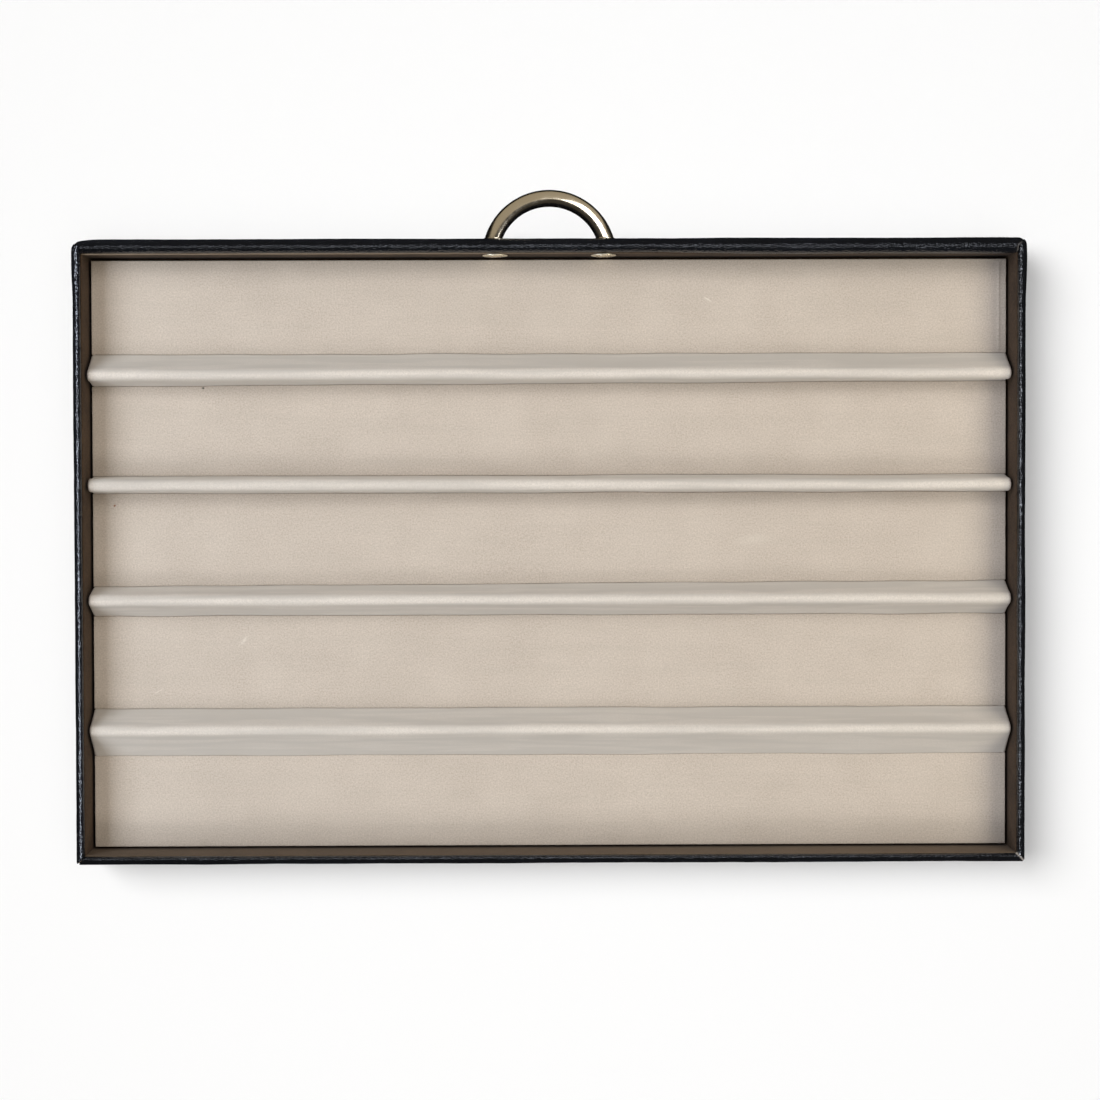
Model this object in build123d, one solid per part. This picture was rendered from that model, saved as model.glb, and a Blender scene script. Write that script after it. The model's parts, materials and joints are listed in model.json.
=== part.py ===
"""A necklace case tray: a shallow leather-bound box with a suede insert and a half-ring pull.

Frame: X runs along the tray, +Y points to the wall with the pull, +Z is up out of the tray.
The origin is the middle of the tray's underside. All sizes are in millimetres.

The box is five boards. Each wall is wrapped in its own strip of leather, which turns under the
base, goes up the outside, rolls over the rim and comes down the inside. The strips meet in mitres.
Cloth strips line the walls. The insert drops in loose: five covered panels lie on a board, and
between them four wooden battens hold up ridges of suede, which keep necklaces apart.
"""

import math
import os
from dataclasses import dataclass

from build123d import *

# Tray, outside
tray_length = 450.0
tray_width = 296.0
rim_height = 26.0
corner_radius = 1.6

# Box boards and what covers them
leather = 0.8
side_board = 2.2
front_board = 2.2
rear_board = 5.1
base_board = 3.0
turn_under = 12.0
wall_lining = 0.5
floor_lining = 0.5
lining_below_roll = 0.2

# Insert
side_gap = 1.2
front_gap = 1.2
rear_gap = 1.5
insert_board = 2.2
suede = 0.8
panel_card = 2.0
panel_foam = 1.2
panel_gap = 0.1
panel_edge_round = 0.7

# Ridges, all of them
ridge_height = 10.4
crown_radius = 3.2
batten_width = 4.6
batten_gap = 0.15
batten_end_gap = 0.5

# Each ridge at its left end, from the wall with the pull to the front. The crown is measured
# from the ridge's front foot. They are handmade, so no two are alike or quite straight.
ridge_1_width = 15.0
ridge_1_crown = 5.2
ridge_1_off_place = -0.7
ridge_1_front_moves = 1.7
ridge_2_width = 8.2
ridge_2_crown = 4.2
ridge_2_off_place = 0.4
ridge_2_crown_moves = -0.7
ridge_3_width = 14.0
ridge_3_crown = 8.0
ridge_3_rear_moves = 1.9
ridge_4_width = 22.6
ridge_4_crown = 13.3
ridge_4_off_place = -0.4

# Pull and its fixings
pull_rod = 8.0
pull_radius = 28.0
pull_centre_inside = 8.3
pull_height = 17.0
collar_diameter = 9.6
collar_thickness = 0.8
screw_off_foot = 0.7
screw_diameter = 4.0
screw_in_pull = 5.0
screw_hole_gap = 0.2
screw_head_diameter = 7.0
screw_head_height = 0.7
washer_diameter = 12.0
washer_thickness = 0.5


@dataclass(frozen=True)
class Ridge:
    """One ridge at its left end, and how far each line of it has moved at its right end."""

    width: float
    crown_from_front: float
    off_place: float = 0.0
    front_moves: float = 0.0
    rear_moves: float = 0.0
    crown_moves: float = 0.0


ridges = (
    Ridge(ridge_1_width, ridge_1_crown, ridge_1_off_place, front_moves=ridge_1_front_moves),
    Ridge(ridge_2_width, ridge_2_crown, ridge_2_off_place, crown_moves=ridge_2_crown_moves),
    Ridge(ridge_3_width, ridge_3_crown, rear_moves=ridge_3_rear_moves),
    Ridge(ridge_4_width, ridge_4_crown, ridge_4_off_place),
)

# Walls, from the sizes above
side_wall = side_board + 2 * leather
front_wall = front_board + 2 * leather
rear_wall = rear_board + 2 * leather
half_length = tray_length / 2
half_width = tray_width / 2
base_top = leather + base_board
floor_top = base_top + floor_lining

# Inside faces of the linings
cavity_half_length = half_length - side_wall - wall_lining
cavity_front = -half_width + front_wall + wall_lining
cavity_rear = half_width - rear_wall - wall_lining

# Insert levels and edges
insert_half_length = cavity_half_length - side_gap
insert_front = cavity_front + front_gap
insert_rear = cavity_rear - rear_gap
board_top = floor_top + insert_board
panel_top = board_top + panel_card + panel_foam + suede
crown_top = panel_top + ridge_height
crown_centre = crown_top - crown_radius


# Where the pull's feet meet their collars, and where the screws enter them
pull_foot = math.sqrt(pull_radius**2 - (pull_centre_inside + collar_thickness) ** 2)
screw_x = pull_foot - screw_off_foot


def block(x_low, x_high, y_low, y_high, z_low, z_high):
    """A box between two corners."""
    size = Box(x_high - x_low, y_high - y_low, z_high - z_low)
    middle = ((x_low + x_high) / 2, (y_low + y_high) / 2, (z_low + z_high) / 2)
    return Pos(*middle) * size


def upright(points, z_low, z_high):
    """A plan outline of (x, y) points, raised from z_low to z_high."""
    outline = Polygon(*points, align=None)
    return extrude(Pos(0, 0, z_low) * outline, z_high - z_low, dir=(0, 0, 1))


def along(face, direction, length):
    """An outline drawn across a wall, carried along the wall."""
    return extrude(face, length / 2, dir=direction, both=True)


@dataclass(frozen=True)
class Wall:
    """One wall: its board, how far out its face is, the mitres at its ends and its lining."""

    name: str
    board: float
    outward: Vector
    reach: float
    neighbours: tuple

    @property
    def thickness(self):
        return self.board + 2 * leather

    @property
    def run(self):
        """Direction along the wall."""
        return Vector(-self.outward.Y, self.outward.X, 0)

    def span(self, end):
        """How far the wall's outer corner lies along its run, at end -1 or 1."""
        return half_width if abs(self.outward.X) > 0.5 else half_length

    def place(self, along_run, inwards):
        """The plan point that far along the wall and that far in from its outer face."""
        point = self.run * along_run + self.outward * (self.reach - inwards)
        return (point.X, point.Y)

    def across(self, points):
        """A face standing across the wall, from (inwards, z) points."""
        spots = [
            Vector(*self.place(0, inwards), z)
            for inwards, z in points
        ]
        return spots

    def mitre(self, depth, z_low, z_high):
        """The space that the wall may fill: cut at 45 degrees, then square to its neighbours."""
        ends = []
        for end, neighbour in zip((-1, 1), self.neighbours):
            turn = min(neighbour, depth)
            corner = self.span(end)
            ends.append([
                self.place(end * corner, 0),
                self.place(end * (corner - turn), turn),
                self.place(end * (corner - turn), depth),
            ])
        outline = ends[0] + ends[1][::-1]
        kept = [p for i, p in enumerate(outline) if p != outline[i - 1]]
        return upright(kept, z_low, z_high)

    def upstand(self, low, high, inner, outer, rounded):
        """A wall-long piece between two depths, with a fully rounded top if asked."""
        radius = (outer - inner) / 2
        middle = (inner + outer) / 2
        if not rounded:
            corners = [(inner, low), (outer, low), (outer, high), (inner, high)]
            edges = Polyline(*self.across(corners), close=True)
            return along(make_face(edges), self.run, 2 * self.span(1))
        shoulder = high - radius
        foot = self.across([(inner, shoulder), (inner, low), (outer, low), (outer, shoulder)])
        top = self.across([(middle, high)])[0]
        edges = [
            Polyline(*foot),
            ThreePointArc(foot[-1], top, foot[0]),
        ]
        return along(make_face(edges), self.run, 2 * self.span(1))


left = Wall("left", side_board, Vector(-1, 0, 0), half_length, (rear_wall, front_wall))
right = Wall("right", side_board, Vector(1, 0, 0), half_length, (front_wall, rear_wall))
front = Wall("front", front_board, Vector(0, -1, 0), half_width, (side_wall, side_wall))
rear = Wall("rear", rear_board, Vector(0, 1, 0), half_width, (side_wall, side_wall))
walls = (left, right, front, rear)

screw_places = (-screw_x, screw_x)


def rod_along_y(x, diameter, y_low, y_high):
    """A round bar along Y at the pull's height."""
    bar = Cylinder(diameter / 2, y_high - y_low)
    return Pos(x, (y_low + y_high) / 2, pull_height) * Rot(90, 0, 0) * bar


def screw_holes():
    """Clearance holes through the rear wall, for both screws."""
    diameter = screw_diameter + 2 * screw_hole_gap
    low = cavity_rear - 1.0
    high = half_width + 1.0
    return [rod_along_y(x, diameter, low, high) for x in screw_places]


def wall_board(wall):
    """The stiff core of one wall, standing on the base board."""
    deep = wall.thickness - leather
    core = wall.upstand(base_top, rim_height - leather, leather, deep, rounded=True)
    core = core & wall.mitre(deep, base_top, rim_height)
    if wall is rear:
        core = core - screw_holes()
    return core


def leather_strip(wall):
    """Leather round one wall: under the base, up the outside, over the rim, down the inside."""
    outer = wall.upstand(0, rim_height, 0, wall.thickness, rounded=True)
    space = wall.upstand(
        base_top, rim_height - leather, leather, wall.thickness - leather, rounded=True
    )
    below = wall.upstand(0, base_top, leather, wall.thickness, rounded=False)
    skin = (outer - space - below) & wall.mitre(wall.thickness, 0, rim_height)
    under = wall.upstand(0, leather, 0, turn_under, rounded=False)
    corner = wall.span(1)
    trapezium = [
        wall.place(-corner, 0),
        wall.place(-corner + turn_under, turn_under),
        wall.place(corner - turn_under, turn_under),
        wall.place(corner, 0),
    ]
    under = under & upright(trapezium, 0, leather)
    shell = (skin + under) & footprint()
    if wall is rear:
        shell = shell - screw_holes()
    return shell


def footprint():
    """The outside of the tray in plan, with its corners eased, as tall as the rim."""
    outline = RectangleRounded(tray_length, tray_width, corner_radius)
    return extrude(outline, rim_height)


def lining_strip(wall):
    """Cloth down the inside of one wall, from just under the rolled rim to the floor."""
    top = rim_height - wall.thickness / 2 - lining_below_roll
    if wall in (left, right):
        x_low = cavity_half_length if wall is right else -cavity_half_length - wall_lining
        strip = block(
            x_low, x_low + wall_lining, cavity_front, cavity_rear, floor_top, top
        )
        return strip
    y_low = cavity_rear if wall is rear else cavity_front - wall_lining
    reach = cavity_half_length + wall_lining
    strip = block(-reach, reach, y_low, y_low + wall_lining, floor_top, top)
    if wall is rear:
        strip = strip - screw_holes()
    return strip


def tray_parts():
    """Every piece of the box itself."""
    parts = {}
    parts["base_board"] = block(
        -half_length + leather, half_length - leather,
        -half_width + leather, half_width - leather,
        leather, base_top,
    )
    parts["base_cover"] = block(
        -half_length + turn_under, half_length - turn_under,
        -half_width + turn_under, half_width - turn_under,
        0, leather,
    )
    parts["floor_lining"] = block(
        -half_length + side_wall, half_length - side_wall,
        -half_width + front_wall, half_width - rear_wall,
        base_top, floor_top,
    )
    for wall in walls:
        parts[f"{wall.name}_wall_board"] = wall_board(wall)
        parts[f"{wall.name}_leather"] = leather_strip(wall)
        parts[f"{wall.name}_lining"] = lining_strip(wall)
    return parts


def pull_bow():
    """The half ring: round rod on an arc, cut flat at the feet and tapped for the screws."""
    centre_y = half_width - pull_centre_inside
    centre = Vector(0, centre_y, pull_height)
    path = CenterArc(centre, pull_radius, 0, 180)
    section = Plane(path @ 0, z_dir=path % 0) * Circle(pull_rod / 2)
    ring = sweep(section, path)
    face_y = half_width + collar_thickness
    reach = pull_radius + pull_rod
    room = block(-reach, reach, face_y, face_y + reach, 0, 2 * pull_height)
    bow = ring & room
    for x in screw_places:
        bow = bow - rod_along_y(x, screw_diameter, face_y - 1, face_y + screw_in_pull)
    return bow


def pull_parts():
    """The pull, its collars outside the wall, and its washers and screws inside."""
    collars = []
    washers = []
    screws = []
    face_y = half_width + collar_thickness
    hole = screw_diameter + 2 * screw_hole_gap
    for side, x in zip((-1, 1), screw_places):
        collar = rod_along_y(side * pull_foot, collar_diameter, half_width, face_y)
        collars.append(collar - rod_along_y(x, hole, half_width - 1, face_y + 1))
        washer_y = cavity_rear - washer_thickness
        washer = rod_along_y(x, washer_diameter, washer_y, cavity_rear)
        washers.append(washer - rod_along_y(x, hole, washer_y - 1, cavity_rear + 1))
        head = rod_along_y(x, screw_head_diameter, washer_y - screw_head_height, washer_y)
        rim = head.edges().filter_by(GeomType.CIRCLE).sort_by(Axis.Y)[0]
        head = fillet(rim, screw_head_height * 0.6)
        shank = rod_along_y(x, screw_diameter, washer_y, face_y + screw_in_pull)
        screws.append(head + shank)
    return {
        "pull_bow": pull_bow(),
        "pull_collars": Compound(collars),
        "pull_washers": Compound(washers),
        "pull_screws": Compound(screws),
    }


@dataclass(frozen=True)
class RidgeLine:
    """One ridge's lines on the panels: its feet and its crown, as Y at any X along it."""

    front_left: float
    rear_left: float
    ridge: Ridge

    def moved(self, x):
        """The share of the ridge's sideways movement reached at x."""
        return (x + insert_half_length) / (2 * insert_half_length)

    def front(self, x):
        return self.front_left + self.ridge.front_moves * self.moved(x)

    def rear(self, x):
        return self.rear_left + self.ridge.rear_moves * self.moved(x)

    def crown(self, x):
        crown_left = self.front_left + self.ridge.crown_from_front
        return crown_left + self.ridge.crown_moves * self.moved(x)


def ridge_lines():
    """Where each ridge lies, with even bays between the ridges at their left ends."""
    width = insert_rear - insert_front
    bay = (width - sum(ridge.width for ridge in ridges)) / (len(ridges) + 1)
    lines = []
    edge = insert_rear
    for ridge in ridges:
        rear_foot = edge - bay + ridge.off_place
        lines.append(RidgeLine(rear_foot - ridge.width, rear_foot, ridge))
        edge = edge - bay - ridge.width
    return lines


def flank(foot, crown, way, inset):
    """Two points of a ridge's side: at its foot, and where it meets the round of the crown.

    The side runs straight from the foot at panel height, and just touches the crown's round.
    way is 1 on the front side and -1 on the rear one. inset draws the side into the ridge.
    """
    run = (crown - foot) * way
    rise = crown_centre - panel_top
    lean = math.atan2(rise, run) + math.asin(crown_radius / math.hypot(run, rise))
    radius = crown_radius - inset
    touch_y = crown - way * radius * math.sin(lean)
    touch_z = crown_centre + radius * math.cos(lean)
    knee_y = foot + way * inset
    knee_z = touch_z - way * (touch_y - knee_y) * math.tan(lean)
    return (knee_y, knee_z), (touch_y, touch_z)


def tent_section(line, x, inset):
    """Outline of a ridge across X, drawn in by inset on every side but the bottom."""
    crown = line.crown(x)
    front_knee, front_touch = flank(line.front(x), crown, 1, inset)
    rear_knee, rear_touch = flank(line.rear(x), crown, -1, inset)
    points = [
        front_touch,
        front_knee,
        (front_knee[0], board_top),
        (rear_knee[0], board_top),
        rear_knee,
        rear_touch,
    ]
    spots = [Vector(x, y, z) for y, z in points]
    top = Vector(x, crown, crown_centre + crown_radius - inset)
    return make_face([Polyline(*spots), ThreePointArc(spots[-1], top, spots[0])])


def batten_section(line, x):
    """Outline of a batten across X: square below and round on top."""
    half = batten_width / 2
    crown = line.crown(x)
    top = crown_top - suede - batten_gap
    corners = [
        (crown - half, top - half),
        (crown - half, board_top),
        (crown + half, board_top),
        (crown + half, top - half),
    ]
    spots = [Vector(x, y, z) for y, z in corners]
    return make_face([Polyline(*spots), ThreePointArc(spots[-1], Vector(x, crown, top), spots[0])])


def ridge_parts(number, line):
    """One ridge: a batten with a round top, and the suede tented over it, closed at its ends."""
    reach = insert_half_length
    inner = reach - suede
    tent = loft([tent_section(line, x, 0) for x in (-reach, reach)], ruled=True)
    tent = tent - loft([tent_section(line, x, suede) for x in (-inner, inner)], ruled=True)
    short = inner - batten_end_gap
    batten = loft([batten_section(line, x) for x in (-short, short)], ruled=True)
    return {f"ridge_{number}_suede": tent, f"ridge_{number}_batten": batten}


def panel_outline(rear_line, front_line, reach, inset):
    """A panel in plan, between the ridge behind it and the ridge before it."""
    points = []
    for x in (-reach, reach):
        low = insert_front if front_line is None else front_line.rear(x) + panel_gap
        high = insert_rear if rear_line is None else rear_line.front(x) - panel_gap
        points.append([(x, low + inset), (x, high - inset)])
    (left_low, left_high), (right_low, right_high) = points
    return [left_low, right_low, right_high, left_high]


def panel_parts(number, rear_line, front_line):
    """One flat panel: a card, a sheet of foam, and suede over the top and down the edges."""
    reach = insert_half_length
    outer = panel_outline(rear_line, front_line, reach, 0)
    inner = panel_outline(rear_line, front_line, reach - suede, suede)
    card_top = board_top + panel_card
    foam_top = card_top + panel_foam
    wrap = upright(outer, board_top, panel_top)
    wrap = fillet(wrap.faces().sort_by(Axis.Z)[-1].edges(), panel_edge_round)
    return {
        f"panel_{number}_card": upright(inner, board_top, card_top),
        f"panel_{number}_foam": upright(inner, card_top, foam_top),
        f"panel_{number}_suede": wrap - upright(inner, board_top, foam_top),
    }


def insert_parts():
    """The board, the panels and the ridges, which lift out together."""
    parts = {}
    parts["insert_board"] = block(
        -insert_half_length, insert_half_length, insert_front, insert_rear, floor_top, board_top
    )
    lines = ridge_lines()
    between = [None] + lines + [None]
    for number, (rear_line, front_line) in enumerate(zip(between, between[1:]), start=1):
        parts.update(panel_parts(number, rear_line, front_line))
    for number, line in enumerate(lines, start=1):
        parts.update(ridge_parts(number, line))
    return parts


os.makedirs("parts", exist_ok=True)
for node, shape in {**tray_parts(), **pull_parts(), **insert_parts()}.items():
    export_step(shape, f"parts/{node}.step")
print("panel top", panel_top, "crown", crown_top, "rim", rim_height)
for line in ridge_lines():
    ends = (-insert_half_length, insert_half_length)
    print("ridge", [round(f(x), 2) for f in (line.front, line.crown, line.rear) for x in ends])
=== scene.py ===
"""Dresses the necklace tray: leather, cloth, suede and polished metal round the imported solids.

Sizes in this file are in millimetres, and every mesh is turned to metres when it is made.
X runs along the tray, +Y points to the wall with the pull, and +Z is up out of the tray.
"""

import json
import logging
import math
import random
from dataclasses import dataclass, field
from enum import Enum
from typing import Any, Callable, Sequence

import bmesh
import bpy
import numpy as np
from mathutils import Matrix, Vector

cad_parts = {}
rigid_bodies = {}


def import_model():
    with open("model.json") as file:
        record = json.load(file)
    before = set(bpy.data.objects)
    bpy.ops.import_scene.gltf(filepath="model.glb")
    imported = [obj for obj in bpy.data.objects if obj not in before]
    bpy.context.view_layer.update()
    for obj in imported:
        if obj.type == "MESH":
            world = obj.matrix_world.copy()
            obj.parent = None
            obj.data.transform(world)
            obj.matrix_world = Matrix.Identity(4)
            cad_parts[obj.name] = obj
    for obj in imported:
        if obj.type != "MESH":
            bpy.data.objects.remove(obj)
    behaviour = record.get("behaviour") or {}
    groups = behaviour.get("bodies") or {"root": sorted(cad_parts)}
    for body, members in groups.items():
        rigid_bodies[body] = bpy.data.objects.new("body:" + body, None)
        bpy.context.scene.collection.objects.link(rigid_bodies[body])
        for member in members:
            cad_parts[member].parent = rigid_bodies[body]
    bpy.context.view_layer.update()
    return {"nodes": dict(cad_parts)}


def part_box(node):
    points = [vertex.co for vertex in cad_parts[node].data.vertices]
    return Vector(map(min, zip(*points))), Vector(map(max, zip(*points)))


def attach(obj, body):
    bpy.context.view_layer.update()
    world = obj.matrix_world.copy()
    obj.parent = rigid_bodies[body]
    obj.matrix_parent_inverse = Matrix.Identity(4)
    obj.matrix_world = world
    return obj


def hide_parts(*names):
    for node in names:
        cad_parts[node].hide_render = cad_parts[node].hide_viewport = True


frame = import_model()

MM = 0.001
HALF_LONG, HALF_DEEP = 225.0, 148.0
SIDE_WALL, REAR_WALL = 3.8, 6.7
SAME_POINT = 0.0005
# Where a corner's rounding crosses its mitre, as a share of its radius.
ROUND_STOP = 0.293
LOG = logging.getLogger("necklace_tray")

Array = np.ndarray
Piece = bpy.types.Object
Material = bpy.types.Material
Socket = bpy.types.NodeSocket
PointMap = Callable[[Array, Array], Array]


# Small tools


def linear(hex_colour: str) -> tuple[float, ...]:
    """Turns an sRGB hex colour to the linear one that the shaders use.

    Args:
        hex_colour: Six hex digits.
    Returns:
        Linear red, green and blue, and an alpha of 1.
    """
    parts = [int(hex_colour[i:i + 2], 16) / 255 for i in (0, 2, 4)]
    flat = [c / 12.92 if c <= 0.04045 else ((c + 0.055) / 1.055) ** 2.4 for c in parts]
    return (*flat, 1.0)


class Kind(Enum):
    """The nodes in use, each with the settings that never change here.

    Inputs in order are vector, scale, detail and roughness for noise, a value and the bounds
    from and to for a range, and a share and the colours at 0 and 1 for a mix.
    """

    ATTRIBUTE = ("ShaderNodeAttribute", {})
    COORDINATES = ("ShaderNodeTexCoord", {})
    MAPPING = ("ShaderNodeMapping", {})
    NOISE = ("ShaderNodeTexNoise", {})
    PEBBLES = ("ShaderNodeTexVoronoi", {"feature": "SMOOTH_F1"})
    RANGE = ("ShaderNodeMapRange", {})
    SMOOTH_RANGE = ("ShaderNodeMapRange", {"interpolation_type": "SMOOTHSTEP"})
    MIX = ("ShaderNodeMix", {"data_type": "RGBA"})
    PLUS = ("ShaderNodeMath", {"operation": "ADD"})
    MINUS = ("ShaderNodeMath", {"operation": "SUBTRACT"})
    TIMES = ("ShaderNodeMath", {"operation": "MULTIPLY"})
    OVER = ("ShaderNodeMath", {"operation": "DIVIDE"})
    TIMES_PLUS = ("ShaderNodeMath", {"operation": "MULTIPLY_ADD"})
    SCALED = ("ShaderNodeVectorMath", {"operation": "SCALE"})
    VECTOR_MINUS = ("ShaderNodeVectorMath", {"operation": "SUBTRACT"})
    VECTOR_TIMES = ("ShaderNodeVectorMath", {"operation": "MULTIPLY"})
    VECTOR_TIMES_PLUS = ("ShaderNodeVectorMath", {"operation": "MULTIPLY_ADD"})
    LENGTH = ("ShaderNodeVectorMath", {"operation": "LENGTH"})
    DOT = ("ShaderNodeVectorMath", {"operation": "DOT_PRODUCT"})
    BUMP = ("ShaderNodeBump", {})
    SPLIT = ("ShaderNodeSeparateXYZ", {})
    JOINED_XYZ = ("ShaderNodeCombineXYZ", {})
    PLACE = ("GeometryNodeInputPosition", {})
    SET_PLACE = ("GeometryNodeSetPosition", {})
    ARC = ("GeometryNodeCurveArc", {"mode": "RADIUS"})
    CIRCLE = ("GeometryNodeCurvePrimitiveCircle", {"mode": "RADIUS"})
    RECTANGLE = ("GeometryNodeCurvePrimitiveQuadrilateral", {"mode": "RECTANGLE"})
    FILLET = ("GeometryNodeFilletCurve", {"mode": "POLY"})
    SWEEP = ("GeometryNodeCurveToMesh", {})
    MOVE = ("GeometryNodeTransform", {})
    CUBE = ("GeometryNodeMeshCube", {})
    BALL = ("GeometryNodeMeshUVSphere", {})
    CYLINDER = ("GeometryNodeMeshCylinder", {})
    LINE = ("GeometryNodeMeshLine", {})
    REPEAT = ("GeometryNodeInstanceOnPoints", {})
    CUT = ("GeometryNodeMeshBoolean", {"operation": "DIFFERENCE"})
    JOIN = ("GeometryNodeJoinGeometry", {})
    REALIZE = ("GeometryNodeRealizeInstances", {})
    SET_MATERIAL = ("GeometryNodeSetMaterial", {})
    OUTPUT = ("NodeGroupOutput", {})


def fill(node: bpy.types.Node, inputs: dict[str, Any] | tuple[Any, ...]) -> None:
    """Sets or links a node's inputs.

    Args:
        node: The node.
        inputs: Values, sockets or lists of sockets, by name or in the order of those in use.
    """
    if isinstance(inputs, dict):
        pairs = [(node.inputs[name], value) for name, value in inputs.items()]
    else:
        pairs = list(zip([one for one in node.inputs if one.enabled], inputs))
    for entry, value in pairs:
        for one in value if isinstance(value, list) else [value]:
            if isinstance(one, Socket):
                node.id_data.links.new(one, entry)
            else:
                entry.default_value = one


@dataclass
class Tree:
    """A node tree in the making."""

    tree: bpy.types.NodeTree

    def add(
        self, kind: Kind, inputs: dict[str, Any] | tuple[Any, ...] = (), out: str = "",
        **settings: Any,
    ) -> Socket | None:
        """Adds one node with its settings and inputs.

        Args:
            kind: What node it is.
            inputs: As for fill.
            out: The output to give back, or nothing for the first in use.
            settings: More of the node's properties.
        Returns:
            That output.
        """
        name, usual = kind.value
        node = self.tree.nodes.new(name)
        for key, value in {**usual, **settings}.items():
            setattr(node, key, value)
        fill(node, inputs)
        return node.outputs[out] if out else next((o for o in node.outputs if o.enabled), None)


def box_mm(node: str) -> tuple[Array, Array]:
    """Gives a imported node's lowest and highest corner, in millimetres."""
    low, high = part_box(node)
    return np.array(low) / MM, np.array(high) / MM


def steps(low: float, high: float, pitch: float, fine: Sequence[float]) -> Array:
    """Spaces positions along a line, closer together near both ends.

    Args:
        low: The first position.
        high: The last position.
        pitch: The usual distance between two positions.
        fine: Distances from each end of the closer ones, from 0 up.
    Returns:
        The positions in rising order.
    """
    first, last = low + fine[-1], high - fine[-1]
    middle = np.linspace(first, last, max(2, round((last - first) / pitch) + 1))
    near = np.array(fine[:-1])
    return np.concatenate([low + near, middle, (high - near)[::-1]])


def way_along(line: Array) -> Array:
    """Gives how far along a line each of its points lies."""
    return np.concatenate([[0.0], np.cumsum(np.linalg.norm(np.diff(line, axis=0), axis=1))])


@dataclass
class Waves:
    """A smooth uneven surface: waves of several lengths that run in every direction.

    Seen on cloth and leather as the slight unevenness left by hand work.
    """

    seed: int
    height: float
    shortest: float
    longest: float
    count: int = 7
    terms: list[tuple[float, float, float, float]] = field(default_factory=list)

    def __post_init__(self) -> None:
        """Draws each wave's length, turn, start and share once, from the seed."""
        draw = random.Random(self.seed)
        for _ in range(self.count):
            length = self.shortest * (self.longest / self.shortest) ** draw.random()
            turn = draw.uniform(0, math.pi)
            self.terms.append((length, turn, draw.uniform(0, 2 * math.pi), draw.uniform(0.5, 1)))

    def at(self, u: Array | float, v: Array | float) -> Array:
        """Gives the height at a place, about within plus and minus the stated one.

        Args:
            u: Distance along the first direction.
            v: Distance along the second direction.
        Returns:
            The height there.
        """
        return self.total(lambda turn: u * math.cos(turn) + v * math.sin(turn))

    def line(self, u: Array | float) -> Array:
        """Gives the height along one line, with every wave running along it."""
        return self.total(lambda turn: u)

    def total(self, run: Callable[[float], Array | float]) -> Array:
        """Adds the waves up.

        Args:
            run: Gives the distance along a wave from its turn.
        Returns:
            The height.
        """
        total: Array | float = 0.0
        for length, turn, start, share in self.terms:
            total = total + share * np.sin(2 * math.pi * run(turn) / length + start)
        return total * self.height / math.sqrt(self.count)


def put(name: str, data: bpy.types.ID) -> Piece:
    """Makes an object at the origin and links it into the scene.

    Args:
        name: Its name.
        data: Its mesh, light or camera.
    Returns:
        The object.
    """
    made = bpy.data.objects.new(name, data)
    bpy.context.scene.collection.objects.link(made)
    return made


def settle(mesh: bpy.types.Mesh, crease: float, weld: bool = False) -> None:
    """Turns a mesh's faces outwards and smooths all but its sharper edges.

    Args:
        mesh: The mesh.
        crease: The angle in degrees from which an edge stays sharp.
        weld: Whether corners at the same point become one first.
    """
    shell = bmesh.new()
    shell.from_mesh(mesh)
    if weld:
        bmesh.ops.remove_doubles(shell, verts=shell.verts, dist=SAME_POINT * MM)
    bmesh.ops.recalc_face_normals(shell, faces=shell.faces)
    shell.to_mesh(mesh)
    shell.free()
    mesh.polygons.foreach_set("use_smooth", [True] * len(mesh.polygons))
    mesh.set_sharp_from_angle(angle=math.radians(crease))


def wrap(name: str, outer: Array, inner: Array) -> Piece:
    """Makes a closed sheet from its two skins.

    Args:
        name: The piece's name.
        outer: Outer skin in millimetres, as rows of points.
        inner: Inner skin, with as many rows and points.
    Returns:
        The object.
    """
    rows, columns, _ = outer.shape
    size = rows * columns
    number = np.arange(size).reshape(rows, columns)
    corner = number[:-1, :-1].ravel()
    quads = np.stack([corner, corner + columns, corner + columns + 1, corner + 1], axis=1)
    faces = quads.tolist() + (quads + size)[:, ::-1].tolist()
    edges = (number[:-1, 0], number[-1, :-1], number[:0:-1, -1], number[0, :0:-1])
    rim = np.concatenate(edges).tolist()
    faces += [(one, one + size, two + size, two) for one, two in zip(rim, rim[1:] + rim[:1])]
    points = np.concatenate([outer.reshape(-1, 3), inner.reshape(-1, 3)])
    mesh = bpy.data.meshes.new(name)
    mesh.from_pydata((points * MM).tolist(), [], faces)
    mesh.validate()
    settle(mesh, crease=50.0)
    return put(name, mesh)


def slab(name: str, us: Array, vs: Array, face: PointMap, back: PointMap) -> Piece:
    """Makes a closed slab between two surfaces that share the same grid.

    Args:
        name: The piece's name.
        us: Grid positions along the first direction.
        vs: Grid positions along the second direction.
        face: Gives the outer surface's points from grids of u and v.
        back: Gives the inner surface's points from the same grids.
    Returns:
        The object.
    """
    grids = np.meshgrid(us, vs, indexing="ij")
    return wrap(name, face(*grids), back(*grids))


def store(piece: Piece, name: str, values: Array) -> None:
    """Stores a value at each corner of a piece, for its material to read."""
    layer = piece.data.attributes.new(name, "FLOAT", "POINT")
    layer.data.foreach_set("value", np.asarray(values, np.float32))


def fit_out(piece: Piece, finish: Material, body: str, slot: str, *nodes: str) -> None:
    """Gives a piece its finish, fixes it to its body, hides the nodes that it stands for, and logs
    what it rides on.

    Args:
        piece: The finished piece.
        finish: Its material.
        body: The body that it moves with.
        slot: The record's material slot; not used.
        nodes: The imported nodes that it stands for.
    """
    piece.data.materials.clear()
    piece.data.materials.append(finish)
    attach(piece, body)
    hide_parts(*nodes)
    LOG.info("%s: %d faces, rides on %s", piece.name, len(piece.data.polygons), body)


# Finishes


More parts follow.
